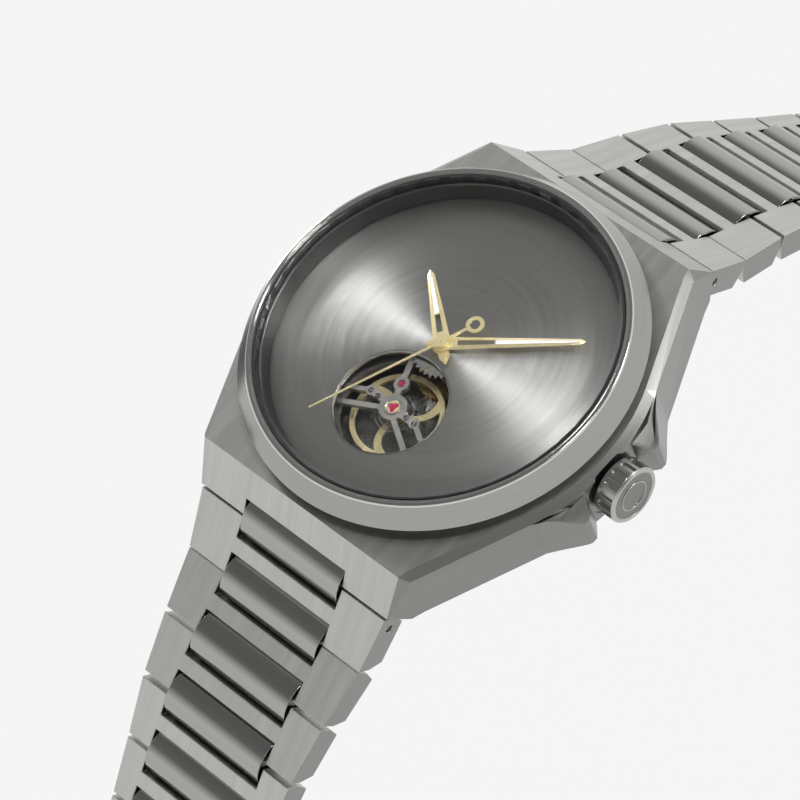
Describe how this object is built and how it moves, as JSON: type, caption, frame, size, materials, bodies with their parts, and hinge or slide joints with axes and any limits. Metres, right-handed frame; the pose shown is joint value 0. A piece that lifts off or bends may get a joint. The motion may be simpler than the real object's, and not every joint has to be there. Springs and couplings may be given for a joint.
{
  "type": "automatic wristwatch",
  "caption": "Automatic wristwatch with an open balance window in the dial, a screwed case, a pull-out crown and a tapering H-link bracelet, undone at its push-button box clasp.",
  "frame": {"origin": "centre of the case back's outer face, which lies on the wrist", "axes": "+X from the dial's centre to 3 o'clock and the crown, +Y to 12 o'clock, +Z out of the dial"},
  "size_m": [0.0449, 0.1535, 0.0871],
  "materials": {
    "brushed_gunmetal": "brushed, gunmetal coated",
    "polished_gunmetal": "polished, gunmetal coated",
    "dial_gunmetal": "brushed in circles",
    "gold": "polished gold tone",
    "steel": "fine",
    "bridge_steel": "brushed, with bevelled edges",
    "plate_dark": "dark coating",
    "brass": "fine",
    "ruby": "clear red, polished",
    "glass": "clear",
    "rubber": "matt",
    "holder": "matt"
  },
  "bodies": {
    "case": {"middle_case": "brushed_gunmetal", "bezel": "polished_gunmetal", "crystal": "glass", "crystal_gasket": "rubber", "rehaut_ring": "dial_gunmetal", "dial": "dial_gunmetal", "case_back_ring": "brushed_gunmetal", "case_back_glass": "glass", "case_back_gasket": "rubber", "movement_ring": "holder", "main_plate": "plate_dark", "train_bridge": "plate_dark", "balance_bridge": "bridge_steel", "balance_jewel": "ruby", "crown_tube": "steel", "hairspring": "steel"},
    "seconds": {"fourth_wheel": "brass", "seconds_hand": "gold"},
    "minutes": {"center_wheel": "brass", "minute_hand": "gold"},
    "hours": {"hour_wheel": "steel", "hour_hand": "gold"},
    "third_wheel": {"third_wheel": "brass"},
    "mainspring_barrel": {"mainspring_barrel": "brass"},
    "escape_wheel": {"escape_wheel": "steel"},
    "minute_wheel": {"minute_wheel": "brass"},
    "balance": {"balance_wheel": "gold"},
    "pallet_fork": {"pallet_fork": "steel"},
    "rotor": {"rotor": "steel"},
    "stem": {"winding_stem": "steel"},
    "crown": {"crown": "polished_gunmetal"},
    "link_12_01": {"link_12_01": "brushed_gunmetal"},
    "link_12_02": {"link_12_02": "brushed_gunmetal"},
    "link_12_03": {"link_12_03": "brushed_gunmetal"},
    "link_12_04": {"link_12_04": "brushed_gunmetal"},
    "link_12_05": {"link_12_05": "brushed_gunmetal"},
    "link_12_06": {"link_12_06": "brushed_gunmetal"},
    "link_12_07": {"link_12_07": "brushed_gunmetal"},
    "link_12_08": {"link_12_08": "brushed_gunmetal"},
    "link_12_09": {"link_12_09": "brushed_gunmetal"},
    "link_12_10": {"link_12_10": "brushed_gunmetal"},
    "link_12_11": {"link_12_11": "brushed_gunmetal"},
    "link_12_12": {"link_12_12": "brushed_gunmetal"},
    "clasp_box": {"clasp_box": "brushed_gunmetal"},
    "link_06_01": {"link_06_01": "brushed_gunmetal"},
    "link_06_02": {"link_06_02": "brushed_gunmetal"},
    "link_06_03": {"link_06_03": "brushed_gunmetal"},
    "link_06_04": {"link_06_04": "brushed_gunmetal"},
    "link_06_05": {"link_06_05": "brushed_gunmetal"},
    "link_06_06": {"link_06_06": "brushed_gunmetal"},
    "link_06_07": {"link_06_07": "brushed_gunmetal"},
    "link_06_08": {"link_06_08": "brushed_gunmetal"},
    "link_06_09": {"link_06_09": "brushed_gunmetal"},
    "link_06_10": {"link_06_10": "brushed_gunmetal"},
    "link_06_11": {"link_06_11": "brushed_gunmetal"},
    "link_06_12": {"link_06_12": "brushed_gunmetal"},
    "clasp_tongue": {"clasp_tongue": "brushed_gunmetal"},
    "clasp_pusher_right": {"clasp_pusher_right": "polished_gunmetal"},
    "clasp_pusher_left": {"clasp_pusher_left": "polished_gunmetal"}
  },
  "joints": [
    {"name": "seconds_turn", "type": "hinge", "parent": "case", "child": "seconds", "pos_m": [0, 0, 0.0038], "axis": [0, 0, -1], "continuous": true},
    {"name": "minutes_turn", "type": "hinge", "parent": "case", "child": "minutes", "pos_m": [0, 0, 0.0048], "axis": [0, 0, -1], "continuous": true},
    {"name": "hours_turn", "type": "hinge", "parent": "case", "child": "hours", "pos_m": [0, 0, 0.00795], "axis": [0, 0, -1], "continuous": true},
    {"name": "third_wheel_turn", "type": "hinge", "parent": "case", "child": "third_wheel", "pos_m": [-0.00364, 0.0021, 0.0042], "axis": [0, 0, -1], "continuous": true},
    {"name": "mainspring_barrel_turn", "type": "hinge", "parent": "case", "child": "mainspring_barrel", "pos_m": [0.00431, 0.00431, 0.00515], "axis": [0, 0, -1], "continuous": true},
    {"name": "escape_wheel_turn", "type": "hinge", "parent": "case", "child": "escape_wheel", "pos_m": [0.00113, -0.0031, 0.00432], "axis": [0, 0, -1], "continuous": true},
    {"name": "minute_wheel_turn", "type": "hinge", "parent": "case", "child": "minute_wheel", "pos_m": [0.00193, 0.00333, 0.0073], "axis": [0, 0, -1], "continuous": true},
    {"name": "balance_swing", "type": "hinge", "parent": "case", "child": "balance", "pos_m": [0, -0.00747, 0.00575], "axis": [0, 0, -1], "range_deg": [-135, 135], "stiffness_Nm_per_rad": 0.0000009},
    {"name": "pallet_fork_swing", "type": "hinge", "parent": "case", "child": "pallet_fork", "pos_m": [0.00047, -0.00567, 0.00432], "axis": [0, 0, -1], "range_deg": [-6, 6]},
    {"name": "rotor_turn", "type": "hinge", "parent": "case", "child": "rotor", "pos_m": [0, 0, 0.0015], "axis": [0, 0, -1], "continuous": true},
    {"name": "crown_pull", "type": "slide", "parent": "case", "child": "stem", "axis": [1, 0, 0], "range_m": [0, 0.0012]},
    {"name": "crown_turn", "type": "hinge", "parent": "stem", "child": "crown", "pos_m": [0.0212, 0, 0.00414], "axis": [1, 0, 0], "continuous": true},
    {"name": "hinge_12_01", "type": "hinge", "parent": "case", "child": "link_12_01", "pos_m": [0, 0.02235, 0.00209], "axis": [-1, 0, 0], "range_deg": [-6, 0]},
    {"name": "hinge_12_02", "type": "hinge", "parent": "link_12_01", "child": "link_12_02", "pos_m": [0, 0.0271, -0.00266], "axis": [-1, 0, 0], "range_deg": [-1, 15]},
    {"name": "hinge_12_03", "type": "hinge", "parent": "link_12_02", "child": "link_12_03", "pos_m": [0, 0.0328, -0.00622], "axis": [-1, 0, 0], "range_deg": [-8, 5.5]},
    {"name": "hinge_12_04", "type": "hinge", "parent": "link_12_03", "child": "link_12_04", "pos_m": [0, 0.0382, -0.01022], "axis": [-1, 0, 0], "range_deg": [-8, 5.5]},
    {"name": "hinge_12_05", "type": "hinge", "parent": "link_12_04", "child": "link_12_05", "pos_m": [0, 0.04295, -0.01497], "axis": [-1, 0, 0], "range_deg": [-8, 5.5]},
    {"name": "hinge_12_06", "type": "hinge", "parent": "link_12_05", "child": "link_12_06", "pos_m": [0, 0.0477, -0.01972], "axis": [-1, 0, 0], "range_deg": [-8, 5.5]},
    {"name": "hinge_12_07", "type": "hinge", "parent": "link_12_06", "child": "link_12_07", "pos_m": [0, 0.05246, -0.02447], "axis": [-1, 0, 0], "range_deg": [-8, 5.5]},
    {"name": "hinge_12_08", "type": "hinge", "parent": "link_12_07", "child": "link_12_08", "pos_m": [0, 0.05682, -0.02958], "axis": [-1, 0, 0], "range_deg": [-8, 5.5]},
    {"name": "hinge_12_09", "type": "hinge", "parent": "link_12_08", "child": "link_12_09", "pos_m": [0, 0.06077, -0.03502], "axis": [-1, 0, 0], "range_deg": [-8, 5.5]},
    {"name": "hinge_12_10", "type": "hinge", "parent": "link_12_09", "child": "link_12_10", "pos_m": [0, 0.06428, -0.04075], "axis": [-1, 0, 0], "range_deg": [-8, 5.5]},
    {"name": "hinge_12_11", "type": "hinge", "parent": "link_12_10", "child": "link_12_11", "pos_m": [0, 0.06733, -0.04673], "axis": [-1, 0, 0], "range_deg": [-8, 5.5]},
    {"name": "hinge_12_12", "type": "hinge", "parent": "link_12_11", "child": "link_12_12", "pos_m": [0, 0.0699, -0.05294], "axis": [-1, 0, 0], "range_deg": [-8, 5.5]},
    {"name": "clasp_box_hinge", "type": "hinge", "parent": "link_12_12", "child": "clasp_box", "pos_m": [0, 0.07198, -0.05933], "axis": [-1, 0, 0], "range_deg": [-8, 5.5]},
    {"name": "hinge_06_01", "type": "hinge", "parent": "case", "child": "link_06_01", "pos_m": [0, -0.02235, 0.00209], "axis": [1, 0, 0], "range_deg": [-6, 0]},
    {"name": "hinge_06_02", "type": "hinge", "parent": "link_06_01", "child": "link_06_02", "pos_m": [0, -0.0271, -0.00266], "axis": [1, 0, 0], "range_deg": [-1, 15]},
    {"name": "hinge_06_03", "type": "hinge", "parent": "link_06_02", "child": "link_06_03", "pos_m": [0, -0.0328, -0.00622], "axis": [1, 0, 0], "range_deg": [-8, 5.5]},
    {"name": "hinge_06_04", "type": "hinge", "parent": "link_06_03", "child": "link_06_04", "pos_m": [0, -0.0382, -0.01022], "axis": [1, 0, 0], "range_deg": [-8, 5.5]},
    {"name": "hinge_06_05", "type": "hinge", "parent": "link_06_04", "child": "link_06_05", "pos_m": [0, -0.04295, -0.01497], "axis": [1, 0, 0], "range_deg": [-8, 5.5]},
    {"name": "hinge_06_06", "type": "hinge", "parent": "link_06_05", "child": "link_06_06", "pos_m": [0, -0.0477, -0.01972], "axis": [1, 0, 0], "range_deg": [-8, 5.5]},
    {"name": "hinge_06_07", "type": "hinge", "parent": "link_06_06", "child": "link_06_07", "pos_m": [0, -0.05246, -0.02447], "axis": [1, 0, 0], "range_deg": [-8, 5.5]},
    {"name": "hinge_06_08", "type": "hinge", "parent": "link_06_07", "child": "link_06_08", "pos_m": [0, -0.05682, -0.02958], "axis": [1, 0, 0], "range_deg": [-8, 5.5]},
    {"name": "hinge_06_09", "type": "hinge", "parent": "link_06_08", "child": "link_06_09", "pos_m": [0, -0.06077, -0.03502], "axis": [1, 0, 0], "range_deg": [-8, 5.5]},
    {"name": "hinge_06_10", "type": "hinge", "parent": "link_06_09", "child": "link_06_10", "pos_m": [0, -0.06428, -0.04075], "axis": [1, 0, 0], "range_deg": [-8, 5.5]},
    {"name": "hinge_06_11", "type": "hinge", "parent": "link_06_10", "child": "link_06_11", "pos_m": [0, -0.06733, -0.04673], "axis": [1, 0, 0], "range_deg": [-8, 5.5]},
    {"name": "hinge_06_12", "type": "hinge", "parent": "link_06_11", "child": "link_06_12", "pos_m": [0, -0.0699, -0.05294], "axis": [1, 0, 0], "range_deg": [-8, 5.5]},
    {"name": "clasp_tongue_hinge", "type": "hinge", "parent": "link_06_12", "child": "clasp_tongue", "pos_m": [0, -0.07198, -0.05933], "axis": [1, 0, 0], "range_deg": [-8, 5.5]},
    {"name": "clasp_pusher_right_press", "type": "slide", "parent": "clasp_box", "child": "clasp_pusher_right", "axis": [-1, 0, 0], "range_m": [0, 0.0005], "stiffness_N_per_m": 400},
    {"name": "clasp_pusher_left_press", "type": "slide", "parent": "clasp_box", "child": "clasp_pusher_left", "axis": [1, 0, 0], "range_m": [0, 0.0005], "stiffness_N_per_m": 400}
  ],
  "couplings": [
    {"joint": "minutes_turn", "follows": "seconds_turn", "ratio": 0.016667},
    {"joint": "hours_turn", "follows": "seconds_turn", "ratio": 0.0013889},
    {"joint": "third_wheel_turn", "follows": "seconds_turn", "ratio": -0.13333},
    {"joint": "mainspring_barrel_turn", "follows": "seconds_turn", "ratio": -0.0027778},
    {"joint": "escape_wheel_turn", "follows": "seconds_turn", "ratio": -10},
    {"joint": "minute_wheel_turn", "follows": "seconds_turn", "ratio": -0.0055556}
  ]
}
